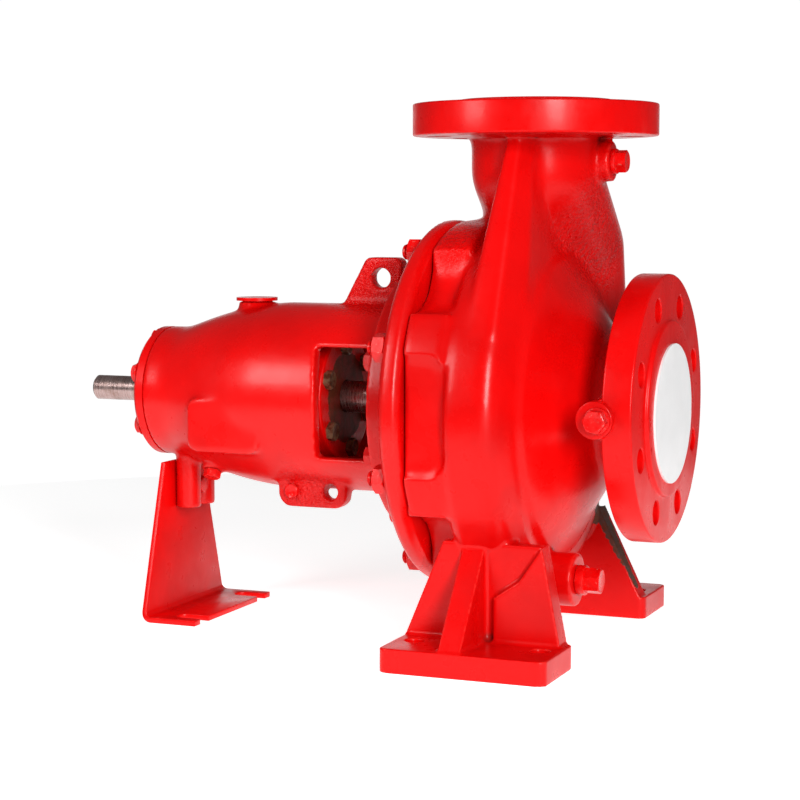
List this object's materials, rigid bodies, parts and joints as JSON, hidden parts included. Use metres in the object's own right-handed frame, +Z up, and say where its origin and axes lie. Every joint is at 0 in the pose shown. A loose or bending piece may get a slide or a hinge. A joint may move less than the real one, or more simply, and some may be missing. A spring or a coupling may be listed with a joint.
{
  "type": "end-suction centrifugal fire pump",
  "caption": "Bare-shaft end-suction centrifugal fire pump in red cast iron, with suction and discharge flanges, cast feet, a bearing bracket, a rear support and a turning shaft.",
  "frame": {"origin": "floor level, midway between the four foundation bolt holes of the casing feet, straight below the discharge axis", "axes": "+X along the shaft towards the suction flange, +Z up along the discharge axis, +Y to the far side of the picture"},
  "size_m": [0.491, 0.32, 0.409],
  "materials": {
    "red_paint": "glossy red enamel over cast iron",
    "painted_fasteners": "red enamel brushed over steel bolts, thin on the corners",
    "worn_fasteners": "dull, browned steel",
    "bright_steel": "turned and polished",
    "seal_bronze": "dull bronze, stained",
    "bare_cast_iron": "as cast",
    "gasket_sheet": "dark pressed fibre",
    "white_disc": "smooth white"
  },
  "bodies": {
    "pump_body": {"volute_casing": "red_paint", "casing_cover": "red_paint", "cover_gasket": "gasket_sheet", "casing_studs": "painted_fasteners", "casing_nuts": "painted_fasteners", "bearing_bracket": "red_paint", "drive_bearing_cover": "red_paint", "drive_cover_bolts": "painted_fasteners", "pump_bearing_cover": "red_paint", "pump_cover_bolts": "worn_fasteners", "lantern_bolts": "painted_fasteners", "seal_gland": "seal_bronze", "gland_studs": "bright_steel", "gland_nuts": "seal_bronze", "oil_filler_cap": "red_paint", "oil_drain_plug": "painted_fasteners", "lower_lug_bolt": "painted_fasteners", "rear_support_foot": "red_paint", "support_bolt": "painted_fasteners", "discharge_gauge_plug": "painted_fasteners", "suction_gauge_plug": "painted_fasteners", "casing_drain_plug": "painted_fasteners", "suction_cover_disc": "white_disc"},
    "rotor": {"pump_shaft": "bright_steel", "shaft_sleeve": "seal_bronze", "impeller": "bare_cast_iron", "impeller_nut": "bright_steel"}
  },
  "joints": [
    {"name": "shaft_spin", "type": "hinge", "parent": "pump_body", "child": "rotor", "pos_m": [0, 0, 0.18], "axis": [1, 0, 0], "continuous": true}
  ]
}
